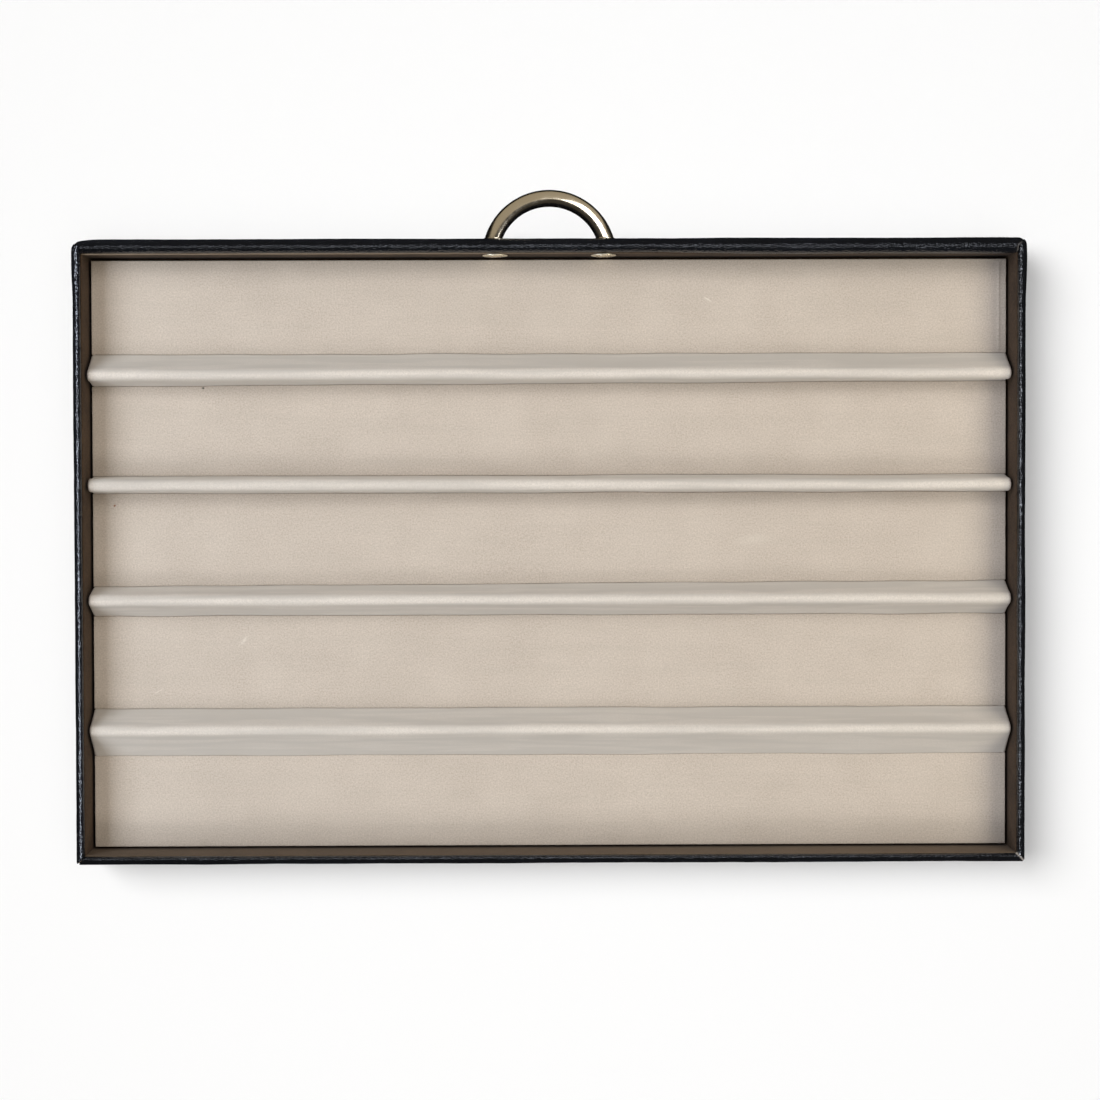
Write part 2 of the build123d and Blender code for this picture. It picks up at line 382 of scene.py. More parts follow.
class Surface(Tree):
    """A material in the making, with places on the piece in millimetres."""

    def __init__(self, name: str) -> None:
        """Makes the plain material and its coordinates.

        Args:
            name: The material's name.
        """
        self.made = bpy.data.materials.new(name)
        self.made.use_nodes = True
        super().__init__(self.made.node_tree)
        self.real = self.add(Kind.SCALED, (self.add(Kind.COORDINATES, (), "Object"), 1 / MM))

    def close(
        self, height: Socket, depth: float, strength: float, shader: dict[str, Any],
        invert: bool = False,
    ) -> Material:
        """Adds the relief and fills in the shader.

        Args:
            height: The relief's height, from 0 to 1.
            depth: What a height of 1 is in millimetres.
            strength: How much of it shows.
            shader: The shader's other inputs.
            invert: Whether the height counts downwards.
        Returns:
            The finished material.
        """
        relief = {"Height": height, "Strength": strength, "Distance": depth * MM}
        normal = self.add(Kind.BUMP, relief, invert=invert)
        fill(self.tree.nodes["Principled BSDF"], {**shader, "Normal": normal})
        return self.made


@dataclass(frozen=True)
class Mark:
    """A small mark on the suede, where the nap was rubbed or a fibre lies."""

    x: float
    y: float
    length: float
    width: float
    turn: float
    colour: str
    strength: float

    def lay(self, surface: Surface, colour: Socket) -> Socket:
        """Lays the mark over the colour so far, as a ragged oval.

        Args:
            surface: The material in the making.
            colour: The colour so far.
        Returns:
            The colour with the mark on it.
        """
        add, real = surface.add, surface.real
        moved = add(Kind.VECTOR_MINUS, (real, (self.x, self.y, 0.0)))
        turn = (0.0, 0.0, -math.radians(self.turn))
        turned = add(Kind.MAPPING, {"Vector": moved, "Rotation": turn})
        oval = add(Kind.VECTOR_TIMES, (turned, (2 / self.length, 2 / self.width, 0.0)))
        ragged = add(Kind.NOISE, (real, 0.9, 2.0))
        uneven = add(Kind.TIMES_PLUS, (ragged, 1.2, add(Kind.LENGTH, (oval,))))
        share = add(Kind.SMOOTH_RANGE, (uneven, 0.7, 1.6, self.strength, 0.0))
        return add(Kind.MIX, (share, colour, linear(self.colour)))


@dataclass(frozen=True)
class Suede:
    """Microfibre suede, sheared and brushed: a dense short nap, so matt with a soft bright edge.

    Rubbed one way it goes lighter, the other way darker and greyer, which shows as smears. The same
    greyer colour is laid on the ridges' slopes as painted sheen and shade, with the nap's lie.
    """

    name: str
    light: str
    dark: str
    # The greyer colour: real smears, and painted sheen and shade on the ridges' slopes.
    rubbed: str
    fibre: float = 0.75
    mottle: float = 22.0
    smear_long: float = 60.0
    smear_wide: float = 5.0
    smear_share: float = 0.25
    slope_shading_share: float = 0.8
    marks: tuple[Mark, ...] = ()

    def material(self) -> Material:
        """Builds the material.

        Returns:
            The new material.
        """
        surface = Surface(self.name)
        add, real = surface.add, surface.real
        # The real fibres are a tenth as wide. They are drawn coarser so that they show.
        fibres = add(Kind.NOISE, (real, 1 / self.fibre, 3.0, 0.6))
        mottle = add(Kind.NOISE, (real, 1 / self.mottle, 4.0))
        size = (1 / self.smear_long, 1 / self.smear_wide, 1 / self.smear_wide)
        long = add(Kind.MAPPING, {"Vector": real, "Scale": size})
        smear = add(Kind.NOISE, {"Vector": long, "Scale": 1.0, "Detail": 3.0, "Distortion": 0.4})
        soft = add(Kind.RANGE, (mottle, 0.35, 0.65, 0.42, 0.58))
        fine = add(Kind.RANGE, (fibres, 0.3, 0.7, -0.42, 0.42))
        tone = add(Kind.PLUS, (soft, fine), use_clamp=True)
        nap = add(Kind.MIX, (tone, linear(self.dark), linear(self.light)))
        rubbing = add(Kind.RANGE, (smear, 0.42, 0.68, 0.0, self.smear_share))
        # Painted sheen and shade by slope: the lean attribute turns steep suede greyer, with the
        # nap's lie; the smears added to it are real rubbing.
        painted_slope_shading = add(Kind.ATTRIBUTE, (), "Fac", attribute_name="lean")
        slope_shading_and_smear = add(Kind.TIMES_PLUS, (painted_slope_shading, self.slope_shading_share, rubbing), use_clamp=True)
        colour = add(Kind.MIX, (slope_shading_and_smear, nap, linear(self.rubbed)))
        for mark in self.marks:
            colour = mark.lay(surface, colour)
        shader = {
            "Base Color": colour, "Roughness": 0.95, "Specular IOR Level": 0.2,
            "Sheen Weight": 0.25, "Sheen Roughness": 0.45, "Sheen Tint": linear("F2ECE2"),
        }
        return surface.close(fibres, 0.15, 0.35, shader)


@dataclass(frozen=True)
class Leather:
    """Pigmented cowhide with a pressed pebble grain: black, and shiny in points on each pebble."""

    name: str
    colour: str
    worn: str
    pebble: float
    depth: float
    roughness: float
    # The pale colour of the painted highlight along each mitre crease.
    crease: str = "A39C94"

    def material(self) -> Material:
        """Builds the material.

        Returns:
            The new material.
        """
        surface = Surface(self.name)
        add, real = surface.add, surface.real
        bend = add(Kind.NOISE, (real, 0.5 / self.pebble, 2.0), "Color")
        warped = add(Kind.VECTOR_TIMES_PLUS, (bend, (0.9, 0.9, 0.9), real))
        grain = {"Vector": warped, "Scale": 1 / self.pebble, "Smoothness": 0.35}
        pebbles = add(Kind.PEBBLES, grain)
        dimples = add(Kind.TIMES, (add(Kind.NOISE, (real, 2.2 / self.pebble, 3.0)), 0.06))
        relief = add(Kind.TIMES_PLUS, (pebbles, pebbles, dimples))
        rubbed = add(Kind.NOISE, (real, 1 / 30, 5.0, 0.6))
        wear = add(Kind.RANGE, (rubbed, 0.45, 0.7, 0.0, 0.6))
        colour = add(Kind.MIX, (wear, linear(self.colour), linear(self.worn)))
        # A painted highlight along each mitre crease, laid on by the crease attribute.
        mitre_highlight = add(Kind.ATTRIBUTE, (), "Fac", attribute_name="crease")
        colour = add(Kind.MIX, (mitre_highlight, colour, linear(self.crease)))
        dull, shiny = self.roughness + 0.07, self.roughness - 0.05
        polish = add(Kind.RANGE, (rubbed, 0.3, 0.7, dull, shiny))
        shader = {"Base Color": colour, "Roughness": polish, "IOR": 1.65}
        return surface.close(relief, self.depth, 1.0, shader, invert=True)


@dataclass(frozen=True)
class Cloth:
    """Thin flocked cloth: short dark fibres that swallow the light, with a dusty bloom at random,
    and a paler colour laid on as painted light where its rubbed attribute says.
    """

    name: str
    light: str
    dark: str
    fibre: float
    sheen: float
    # The paler colour laid on as painted light by the rubbed attribute.
    edge: str = "8E7C69"

    def material(self) -> Material:
        """Builds the material.

        Returns:
            The new material.
        """
        surface = Surface(self.name)
        add, real = surface.add, surface.real
        fibres = add(Kind.NOISE, (real, 1 / self.fibre, 3.0))
        dust = add(Kind.NOISE, (real, 1 / 15, 4.0))
        both = add(Kind.TIMES_PLUS, (dust, 0.6, fibres), use_clamp=True)
        tone = add(Kind.RANGE, (both, 0.5, 1.1))
        colour = add(Kind.MIX, (tone, linear(self.dark), linear(self.light)))
        # Painted light: the rubbed attribute lays the paler colour where light falls on the lining.
        rubbed = add(Kind.ATTRIBUTE, (), "Fac", attribute_name="rubbed")
        shader = {
            "Base Color": add(Kind.MIX, (rubbed, colour, linear(self.edge))), "Roughness": 1.0,
            "Specular IOR Level": 0.15, "Sheen Weight": self.sheen,
        }
        return surface.close(fibres, 0.2, 0.5, shader)


@dataclass(frozen=True)
class Nickel:
    """Polished nickel plate on brass: a warm mirror with hairline scratches from handling."""

    name: str
    colour: str
    roughness: float

    def material(self) -> Material:
        """Builds the material.

        Returns:
            The new material.
        """
        surface = Surface(self.name)
        add, real = surface.add, surface.real
        haze = add(Kind.NOISE, (real, 0.25, 6.0, 0.7))
        hair = {"Vector": real, "Rotation": (0.3, 0.2, 0.6), "Scale": (0.25, 5.0, 5.0)}
        hairs = add(Kind.NOISE, (add(Kind.MAPPING, hair), 1.0, 2.0))
        low, high = self.roughness * 0.7, self.roughness * 1.6
        dull = add(Kind.RANGE, (haze, 0.35, 0.7, low, high))
        shader = {"Base Color": linear(self.colour), "Metallic": 1.0, "Roughness": dull}
        return surface.close(hairs, 0.05, 0.06, shader)


@dataclass(frozen=True)
class Core:
    """A bare stiff core: pressed fibres or sawn wood, matt, with its fibres in streaks."""

    name: str
    light: str
    dark: str
    streak: tuple[float, float, float]

    def material(self) -> Material:
        """Builds the material.

        Returns:
            The new material.
        """
        surface = Surface(self.name)
        size = tuple(1 / length for length in self.streak)
        scaled = surface.add(Kind.MAPPING, {"Vector": surface.real, "Scale": size})
        fibres = surface.add(Kind.NOISE, (scaled, 1.0, 5.0, 0.65))
        colour = surface.add(Kind.MIX, (fibres, linear(self.dark), linear(self.light)))
        return surface.close(fibres, 0.1, 0.3, {"Base Color": colour, "Roughness": 0.85})


# The tray


class Side(Enum):
    """A wall, with its outward direction."""

    LEFT = ("left", (-1.0, 0.0))
    RIGHT = ("right", (1.0, 0.0))
    FRONT = ("front", (0.0, -1.0))
    REAR = ("rear", (0.0, 1.0))


@dataclass(frozen=True)
class WornCorners:
    """The rear corners out of true: the left one is knocked back, and both walls swell there."""

    drop: float = 2.2
    reach: float = 13.0
    swell_left: float = 0.5
    swell_right: float = 0.6
    swell_from_rear: float = 10.0
    swell_reach: float = 14.0

    def move(self, spots: Array) -> Array:
        """Moves points near the rear corners, the left ones back along a quarter of an ellipse.

        Args:
            spots: Points in millimetres, with X, Y and Z last.
        Returns:
            The moved points.
        """
        moved = np.array(spots, dtype=float)
        x, y = moved[..., 0].copy(), moved[..., 1].copy()
        share = np.clip(1 - (x + HALF_LONG) / self.reach, 0, 1)
        sag = self.drop * (1 - np.sqrt(1 - share ** 2))
        inside = np.clip(1 - (HALF_DEEP - y) / REAR_WALL, 0, 1) ** 0.7
        moved[..., 1] = y - sag * inside
        near = np.exp(-(((HALF_DEEP - self.swell_from_rear - y) / self.swell_reach) ** 2))
        left = np.clip((-x - HALF_LONG + SIDE_WALL) / SIDE_WALL, 0, 1)
        right = np.clip((x - HALF_LONG + SIDE_WALL) / SIDE_WALL, 0, 1)
        moved[..., 0] = x + near * (self.swell_right * right - self.swell_left * left)
        return moved


CORNERS = WornCorners()


@dataclass
class WallSkin:
    """One wall's leather: under the base, up the outside, over the rim and down the inside.

    Pairs are for the two ends, the second being where the wall runs to: the neighbour's
    thickness, the corner's rounding, how far the strip falls short, and how strong the painted
    highlight along its mitre crease is.
    """

    side: Side
    thickness: float
    ends: tuple[float, float]
    rounding: tuple[float, float]
    seed: int
    shortfall: tuple[float, float] = (0.0, 0.0)
    crease: tuple[float, float] = (0.0, 0.0)
    lean_in: float = 0.0
    leather: float = 0.8
    turn_under: float = 12.0
    bend: float = 0.9
    height: float = 26.0
    inside_foot: float = 3.9
    uneven: float = 0.05
    rim_from: float = 21.0
    lean_from: float = 55.0
    lean_over: float = 60.0
    mitre_dip: float = 0.22
    mitre_dip_reach: float = 0.7
    highlight_reach: float = 0.45

    def profile(self) -> tuple[Array, Array]:
        """Draws the strip's outer line and the direction out of it.

        Returns:
            Points as depth into the wall and height, and a unit normal for each.
        """
        bend, roll = self.bend, self.thickness / 2
        shoulder = self.height - roll

        def arc(middle: tuple[float, float], radius: float, angles: Array) -> list[tuple]:
            """Gives the points and normals round one bend."""
            ways = [(math.cos(angle), math.sin(angle)) for angle in np.radians(angles)]
            return [((middle[0] + radius * x, middle[1] + radius * z), (x, z)) for x, z in ways]

        under = np.linspace(self.turn_under, bend, 7)[:-1]
        up = np.linspace(bend, shoulder, 14)[1:-1]
        down = np.linspace(shoulder, self.inside_foot, 10)[1:]
        rows = [((depth, 0.0), (0.0, -1.0)) for depth in under]
        rows += arc((bend, bend), bend, np.linspace(-90, -180, 6))
        rows += [((0.0, z), (-1.0, 0.0)) for z in up]
        rows += arc((roll, shoulder), roll, np.linspace(180, 0, 19))
        rows += [((self.thickness, z), (1.0, 0.0)) for z in down]
        points, normals = zip(*rows)
        return np.array(points), np.array(normals)

    def build(self, finish: Material) -> None:
        """Makes the strip, with mitred ends and slightly uneven faces.

        Args:
            finish: The leather.
        """
        name, outward = self.side.value
        out = np.array([*outward, 0.0])
        run = np.array([-outward[1], outward[0], 0.0])
        half, reach = (HALF_LONG, HALF_DEEP) if outward[1] else (HALF_DEEP, HALF_LONG)
        points, normals = self.profile()
        girth, level = way_along(points), points[:, 1]
        fine = (0.0, 0.15, 0.35, 0.6, 1.0, 1.5, 2.0, 2.5, 3.1, 3.8, 4.6)
        waves = Waves(self.seed, self.uneven, 7.0, 40.0, 12)
        slow = Waves(self.seed + 50, self.uneven * 2.0, 50.0, 200.0, 5)
        raised = np.clip((level - 1.2) / 3, 0, 1) * np.clip((level - 6) / 4, 0.25, 1)
        on_top = np.clip((level - self.rim_from) / 3.0, 0, 1)
        skins, mitre_highlights = [], []
        for below in (0.0, self.leather):
            line = points - normals * below
            sections = []
            for where in steps(-half, half, 1.5, fine):
                end, sign = (0, -1) if where < 0 else (1, 1)
                place = abs(where)
                bump = (waves.at(where, girth) + slow.line(where + 0 * girth)) * raised
                near = np.exp(-((half - place) / self.mitre_dip_reach) ** 2)
                dip = self.mitre_dip * near * raised
                moved = line + normals * (bump - dip)[:, None]
                past = (run[0] * where - self.lean_from) / self.lean_over
                lean = self.lean_in * min(1.0, max(0.0, past))
                inner = np.clip(2 * moved[:, 0] / self.thickness - 1, 0, 1)
                depth = moved[:, 0] + lean * inner * np.clip((moved[:, 1] - 14.0) / 7.0, 0, 1)
                turn = np.clip(depth, 0, None)
                corner = half - np.where(level < 0.5, turn, np.minimum(self.ends[end], turn))
                radius = np.clip(self.rounding[end] - depth, 0, None)
                stop = corner - ROUND_STOP * radius
                short = self.shortfall[end] * np.clip(1 - depth / self.thickness, 0.15, 1)
                along = np.minimum(place, stop) - short * np.clip(1 - (half - place) / 5, 0, 1)
                gap = np.clip(radius - (corner - along), 0, None)
                push = radius - np.sqrt(np.clip(radius ** 2 - gap ** 2, 0, None))
                spot = run * (sign * along)[:, None] + out * (reach - depth - push)[:, None]
                spot[:, 2] = moved[:, 1]
                sections.append(spot)
                # A painted highlight along the mitre, on top of the rim.
                painted_highlight = self.crease[end] * np.exp(-(((corner - along) / self.highlight_reach) ** 2))
                mitre_highlights.append(painted_highlight * on_top)
            skins.append(CORNERS.move(np.array(sections)))
        piece = wrap(f"{name}_wall_leather", *skins)
        store(piece, "crease", np.concatenate(mitre_highlights))
        fit_out(piece, finish, "tray", "black_leather", f"{name}_leather")


@dataclass
class Tray:
    """The box: leather round four walls, cloth inside, and a felt cover under the base."""

    leather: Material
    lining: Material
    felt: Material
    board: Material
    ease: float = 1.0
    ease_reach: float = 3.0
    ease_middle: tuple[float, float] = (224.2, 147.2)
    edge_drop: float = 0.3
    worn_edge_drop: float = 0.25
    edge_reach: float = 0.6

    def build(self) -> None:
        """Makes every soft piece of the box, and the four boards at its worn corners."""
        for node in ("rear_wall_board", "left_wall_board", "right_wall_board", "base_board"):
            self.worn_board(node)
        side, rear = SIDE_WALL, REAR_WALL
        # The crease pairs set how strong the painted highlight along each mitre is.
        skins = (
            WallSkin(Side.LEFT, side, (rear, side), (3.6, 1.2), 11),
            WallSkin(Side.RIGHT, side, (side, rear), (1.3, 3.6), 23, crease=(0.8, 0.25)),
            WallSkin(
                Side.FRONT, side, (side, side), (1.2, 1.3), 37, (0.9, 0.1), crease=(0.0, 0.8)
            ),
            WallSkin(
                Side.REAR, rear, (side, side), (3.6, 3.6), 41, crease=(0.25, 0.0), lean_in=0.7
            ),
        )
        for skin in skins:
            skin.build(self.leather)
            self.wall_lining(skin.side, skin.seed + 7)
        self.flat_cloth("floor_cloth", "floor_lining", self.lining, "taupe_lining", 61)
        self.flat_cloth("underside_felt", "base_cover", self.felt, "black_base_cloth", 67)

    def worn_board(self, node: str) -> None:
        """Copies a board, with its rear end eased under the leather of the worn corners.

        Args:
            node: The board's node.
        """
        mesh = frame["nodes"][node].data.copy()
        mesh.name = node.replace("board", "core")
        shell = bmesh.new()
        shell.from_mesh(mesh)
        bmesh.ops.remove_doubles(shell, verts=shell.verts, dist=SAME_POINT * MM)
        cuts = [(sign * far, 0) for sign in (-1.0, 1.0) for far in (211.5, 216.0, 220.0, 222.5)]
        for cut, across in (*cuts, (141.0, 1), (144.5, 1)):
            normal = Vector((1.0 - across, float(across), 0.0))
            everything = shell.verts[:] + shell.edges[:] + shell.faces[:]
            bmesh.ops.bisect_plane(
                shell, geom=everything, plane_co=normal * cut * MM, plane_no=normal
            )
        for spot in shell.verts:
            before = np.array(spot.co) / MM
            x, y, z = CORNERS.move(before)
            far = math.hypot(abs(before[0]) - self.ease_middle[0], before[1] - self.ease_middle[1])
            ease = self.ease * max(0.0, 1 - far / self.ease_reach)
            spot.co = ((x - math.copysign(ease, x)) * MM, (y - ease) * MM, z * MM)
        shell.to_mesh(mesh)
        shell.free()
        fit_out(put(mesh.name, mesh), self.board, "tray", "fibre_board", node)

    def wall_lining(self, side: Side, seed: int) -> None:
        """Makes the cloth strip inside one wall.

        Args:
            side: The wall.
            seed: Seed for its unevenness.
        """
        name, outward = side.value
        low, high = box_mm(f"{name}_lining")
        along, across = (1, 0) if outward[0] else (0, 1)
        way = 1.0 if sum(outward) < 0 else -1.0
        inner, outer = (high, low) if way > 0 else (low, high)
        waves = Waves(seed, 0.05, 6.0, 40.0)
        edge = Waves(seed + 3, 0.12, 12.0, 70.0)

        def stand(u: Array, v: Array, depth: Array | float) -> Array:
            """Places the strip's points, under its wavy top edge.

            Args:
                u, v: Places along the wall and up it.
                depth: Place across the strip.
            Returns:
                The points.
            """
            spot = np.zeros(u.shape + (3,))
            spot[..., along] = u
            spot[..., across] = depth
            spot[..., 2] = v + (v - low[2]) / (high[2] - low[2]) * edge.line(u)
            return spot

        def face(u: Array, v: Array) -> Array:
            """Places the visible side, with a rounded top edge.

            Args:
                u, v: Places along the wall and up it.
            Returns:
                The points.
            """
            near_top = np.clip(1 - (high[2] - v) / self.edge_reach, 0, 1)
            round_off = self.edge_drop * near_top ** 2
            return stand(u, v, inner[across] - way * (round_off + 0.06 - waves.at(u, v)))

        piece = slab(
            f"{name}_wall_lining",
            steps(low[along], high[along], 2.0, (0.0, 0.4, 1.0)),
            steps(low[2], high[2], 1.6, (0.0, 0.25, 0.7)),
            face, lambda u, v: stand(u, v, outer[across]),
        )
        x, _, z = np.array([corner.co for corner in piece.data.vertices]).T / MM
        # Painted light: a painted highlight along the top edge of the rear lining's left part,
        # fading to the right, and painted light over the front lining, brightest right of the
        # middle.
        rubbed = 0 * x
        if side is Side.REAR:
            top = np.clip((z - high[2] + 1.1) / 0.8, 0, 1)
            rubbed = top * np.clip((60.0 - x) / 160.0, 0, 1) ** 0.8
        elif side is Side.FRONT:
            rubbed = 0.25 + 0.12 * np.exp(-(((x - 120.0) / 110.0) ** 2))
        store(piece, "rubbed", rubbed)
        fit_out(piece, self.lining, "tray", "taupe_lining", f"{name}_lining")

    def flat_cloth(self, title: str, node: str, finish: Material, slot: str, seed: int) -> None:
        """Makes a cloth glued flat, under the base or on the tray's floor.

        Args:
            title: The piece's name.
            node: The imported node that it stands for.
            finish: Its material.
            slot: The record's slot.
            seed: Seed for its unevenness.
        """
        low, high = box_mm(node)
        waves = Waves(seed, 0.04, 12.0, 80.0)
        below = node == "base_cover"

        def level(z: float, way: float) -> PointMap:
            """Gives the map of one side.

            Args:
                z: Its height where it isn't worn.
                way: Where wear moves it, 1 for up and -1 for down.
            Returns:
                The map.
            """

            def side(u: Array, v: Array) -> Array:
                """Places one side, worn at its edges.

                Args:
                    u, v: Places in X and Y.
                Returns:
                    The points.
                """
                edge = np.minimum.reduce([u - low[0], high[0] - u, v - low[1], high[1] - v])
                near = np.clip(1 - edge / self.edge_reach, 0, 1)
                worn = self.worn_edge_drop * near ** 2 + 0.05 + waves.at(u, v)
                return np.stack([u, v, z + way * worn], axis=-1)

            return side

        us, vs = (steps(low[axis], high[axis], 5.0, (0.0, 0.3, 1.0)) for axis in (0, 1))
        top, bottom = (0, 1) if below else (-1, 0)
        piece = slab(title, us, vs, level(high[2], top), level(low[2], bottom))
        fit_out(piece, finish, "tray", slot, node)


# The pull and its fixings


class NodeBench(Tree):
    """A Geometry Nodes tree with named inputs, and the plain piece that comes out of it."""

    def __init__(self, title: str) -> None:
        """Makes the empty tree.

        Args:
            title: The tree's name, and the piece's.
        """
        super().__init__(bpy.data.node_groups.new(title, "GeometryNodeTree"))
        self.title = title
        self.values: dict[str, Any] = {}
        self.source = self.tree.nodes.new("NodeGroupInput")
        self.tree.interface.new_socket(
            "Geometry", in_out="OUTPUT", socket_type="NodeSocketGeometry"
        )

    def size(self, name: str, value: float | tuple[float, ...]) -> Socket:
        """Adds a named input, a length or a place in metres.

        Args:
            name: The input's name.
            value: Its value in millimetres, a number or a triple.
        Returns:
            The socket to link from.
        """
        triple = isinstance(value, tuple)
        kind = "NodeSocketVector" if triple else "NodeSocketFloat"
        socket = self.tree.interface.new_socket(name, in_out="INPUT", socket_type=kind)
        self.values[socket.identifier] = tuple(v * MM for v in value) if triple else value * MM
        return self.source.outputs[name]

    def finish(self, shape: Socket, look: Material, node: str) -> None:
        """Closes the tree, runs it once, and keeps only the plain mesh, fitted out.

        Args:
            shape: The finished geometry.
            look: The metal.
            node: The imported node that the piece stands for.
        """
        real = self.add(Kind.REALIZE, {"Geometry": shape})
        done = self.add(Kind.SET_MATERIAL, {"Geometry": real, "Material": look})
        self.add(Kind.OUTPUT, {"Geometry": done})
        piece = put(self.title, bpy.data.meshes.new(self.title + "_seed"))
        modifier = piece.modifiers.new("shape", "NODES")
        modifier.node_group = self.tree
        for identifier, value in self.values.items():
            modifier[identifier] = value
        bpy.context.view_layer.update()
        ready = piece.evaluated_get(bpy.context.evaluated_depsgraph_get())
        mesh = bpy.data.meshes.new_from_object(ready)
        mesh.name = self.title
        piece.modifiers.clear()
        piece.data = mesh
        settle(mesh, crease=35.0, weld=True)
        fit_out(piece, look, "tray", "polished_nickel", node)


@dataclass
class Pull:
    """The half ring, its collars on the leather, and its washers and screws inside the wall."""

    nickel: Material
    brushed: Material
    rod: float = 8.0
    ring: float = 28.0
    centre: tuple[float, float, float] = (0.0, 139.7, 17.0)
    collar: float = 9.6
    washer: float = 12.0
    head: float = 7.0
    shank: float = 4.0
    clearance: float = 0.2
    recess: float = 0.8
    crest_shift: float = -1.2

    def build(self) -> None:
        """Makes the four metal pieces."""
        self.bow()
        apart = self.apart("pull_screws", self.head)
        feet = self.apart("pull_collars", self.collar)
        self.rings("pull_collar_pair", "pull_collars", self.collar, feet, self.nickel)
        self.rings("pull_washer_pair", "pull_washers", self.washer, apart, self.brushed)
        self.screws(apart)

    @staticmethod
    def apart(node: str, across: float) -> float:
        """Gives the distance between the middles of a packed pair that wide each."""
        low, high = box_mm(node)
        return float(high[0] - low[0]) - across

    def bow(self) -> None:
        """Sweeps the round rod along its arc and cuts its feet flat.

        The rod's crest is shifted towards the outside of the ring, as the photograph shows it.
        """
        foot_y = float(box_mm("pull_bow")[0][1])
        bench = NodeBench("pull_half_ring")
        add, size = bench.add, bench.size
        turn = {"Resolution": 96, "Start Angle": 0.0, "Sweep Angle": math.pi}
        arc = add(Kind.ARC, {**turn, "Radius": size("Ring radius", self.ring)})
        section = add(Kind.CIRCLE, {"Resolution": 40, "Radius": size("Rod radius", self.rod / 2)})
        across = add(Kind.SPLIT, (add(Kind.PLACE),))
        share = add(Kind.OVER, (across, self.rod / 2 * MM))
        lean = size("Crest shift", self.crest_shift)
        towards = add(Kind.TIMES, (add(Kind.TIMES, (share, share)), lean))
        moved = add(Kind.JOINED_XYZ, (add(Kind.MINUS, (lean, towards)),))
        uneven = add(Kind.SET_PLACE, {"Geometry": section, "Offset": moved})
        swept = add(Kind.SWEEP, {"Curve": arc, "Profile Curve": uneven, "Fill Caps": True})
        placed = add(Kind.MOVE, {"Geometry": swept, "Translation": size("Centre", self.centre)})
        block = (90.0, 60.0, 40.0)
        inside = add(Kind.CUBE, {"Size": size("Cutting block", block)})
        middle = size("Wall side", (0.0, foot_y - block[1] / 2, self.centre[2]))
        wall = add(Kind.MOVE, {"Geometry": inside, "Translation": middle})
        bench.finish(add(Kind.CUT, {"Mesh 1": placed, "Mesh 2": wall}), self.nickel, "pull_bow")

    def pair(self, bench: NodeBench, shape: Socket, apart: float, y: float) -> Socket:
        """Stands a shape made along +Z at both fixing points, facing the tray's inside.

        Args:
            bench: The tree in hand.
            shape: The geometry to repeat.
            apart: Distance between the two points.
            y: Where the shape's origin goes along Y.
        Returns:
            The instances.
        """
        first = bench.size("First point", (-apart / 2, y, self.centre[2]))
        step = bench.size("Step", (apart, 0.0, 0.0))
        spots = bench.add(Kind.LINE, {"Count": 2, "Start Location": first, "Offset": step})
        turn = (math.pi / 2, 0.0, 0.0)
        return bench.add(Kind.REPEAT, {"Points": spots, "Instance": shape, "Rotation": turn})

    def rings(self, title: str, node: str, across: float, apart: float, look: Material) -> None:
        """Makes two flat rings with eased edges.

        Args:
            title: The piece's name.
            node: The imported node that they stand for.
            across: Outside diameter.
            apart: Distance between their middles.
            look: Their metal.
        """
        low, high = box_mm(node)
        thick = float(high[1] - low[1])
        hole = self.shank / 2 + self.clearance
        wide = across / 2 - hole
        bench = NodeBench(title)
        add, size = bench.add, bench.size
        middle = size("Middle radius", hole + wide / 2)
        path = add(Kind.CIRCLE, {"Resolution": 56, "Radius": middle})
        sides = {"Width": size("Ring width", wide), "Height": size("Thickness", thick)}
        edge = {"Count": 6, "Radius": size("Edge", thick * 0.49)}
        eased = add(Kind.FILLET, {"Curve": add(Kind.RECTANGLE, sides), **edge})
        ring = add(Kind.SWEEP, {"Curve": path, "Profile Curve": eased})
        bench.finish(self.pair(bench, ring, apart, float(low[1] + high[1]) / 2), look, node)

    def screws(self, apart: float) -> None:
        """Makes two screws with low domed heads and cross recesses.

        Args:
            apart: Distance between the screws.
        """
        low, high = box_mm("pull_screws")
        washer = float(box_mm("pull_washers")[0][1])
        rise, long = washer - float(low[1]), float(high[1]) - washer
        bench = NodeBench("pull_screw_pair")
        add, size = bench.add, bench.size
        radius = size("Head radius", self.head / 2)
        ball = add(Kind.BALL, {"Segments": 48, "Rings": 24, "Radius": radius})
        dome = add(Kind.MOVE, {"Geometry": ball, "Scale": (1.0, 1.0, rise / (self.head / 2))})
        block = (12.0, 12.0, 4.0)
        under = add(Kind.CUBE, {"Size": size("Under head", block)})
        low_z, top_z = ((0.0, 0.0, z * MM) for z in (-block[2] / 2, rise + 0.1))
        cuts = [add(Kind.MOVE, {"Geometry": under, "Translation": low_z})]
        arm = add(Kind.CUBE, {"Size": size("Recess arm", (3.6, self.recess, 1.2))})
        for angle in (math.pi / 4, -math.pi / 4):
            turn = {"Translation": top_z, "Rotation": (0.0, 0.0, angle)}
            cuts.append(add(Kind.MOVE, {"Geometry": arm, **turn}))
        head = add(Kind.CUT, {"Mesh 1": dome, "Mesh 2": cuts})
        sizes = {"Radius": size("Shank radius", self.shank / 2)}
        sizes["Depth"] = size("Shank length", long)
        rod = add(Kind.CYLINDER, {"Vertices": 32, **sizes})
        sunk = add(Kind.MOVE, {"Geometry": rod, "Translation": (0.0, 0.0, -long / 2 * MM)})
        whole = add(Kind.JOIN, {"Geometry": [head, sunk]})
        bench.finish(self.pair(bench, whole, apart, washer), self.nickel, "pull_screws")


# The insert


